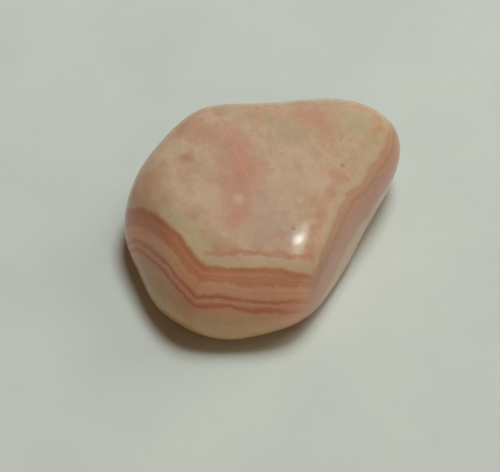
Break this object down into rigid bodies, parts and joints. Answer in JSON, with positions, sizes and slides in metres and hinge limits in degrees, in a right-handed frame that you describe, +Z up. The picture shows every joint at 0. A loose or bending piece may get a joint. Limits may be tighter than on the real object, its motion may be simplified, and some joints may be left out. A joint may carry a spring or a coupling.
{
  "type": "tumbled rhodochrosite pebble",
  "caption": "Tumble-polished banded pink and cream rhodochrosite pebble with rounded facets, lying on a small flat on its underside.",
  "frame": {"origin": "on the rest face, below the middle of the stone's box", "axes": "+Z up, +X along the stone's length towards its narrow back right corner, +Y towards its straight back side; the banded sides face -Y and +X"},
  "size_m": [0.0282, 0.025, 0.012],
  "materials": {
    "stone": "polished"
  },
  "bodies": {
    "root": {"pebble": "stone"}
  },
  "joints": []
}
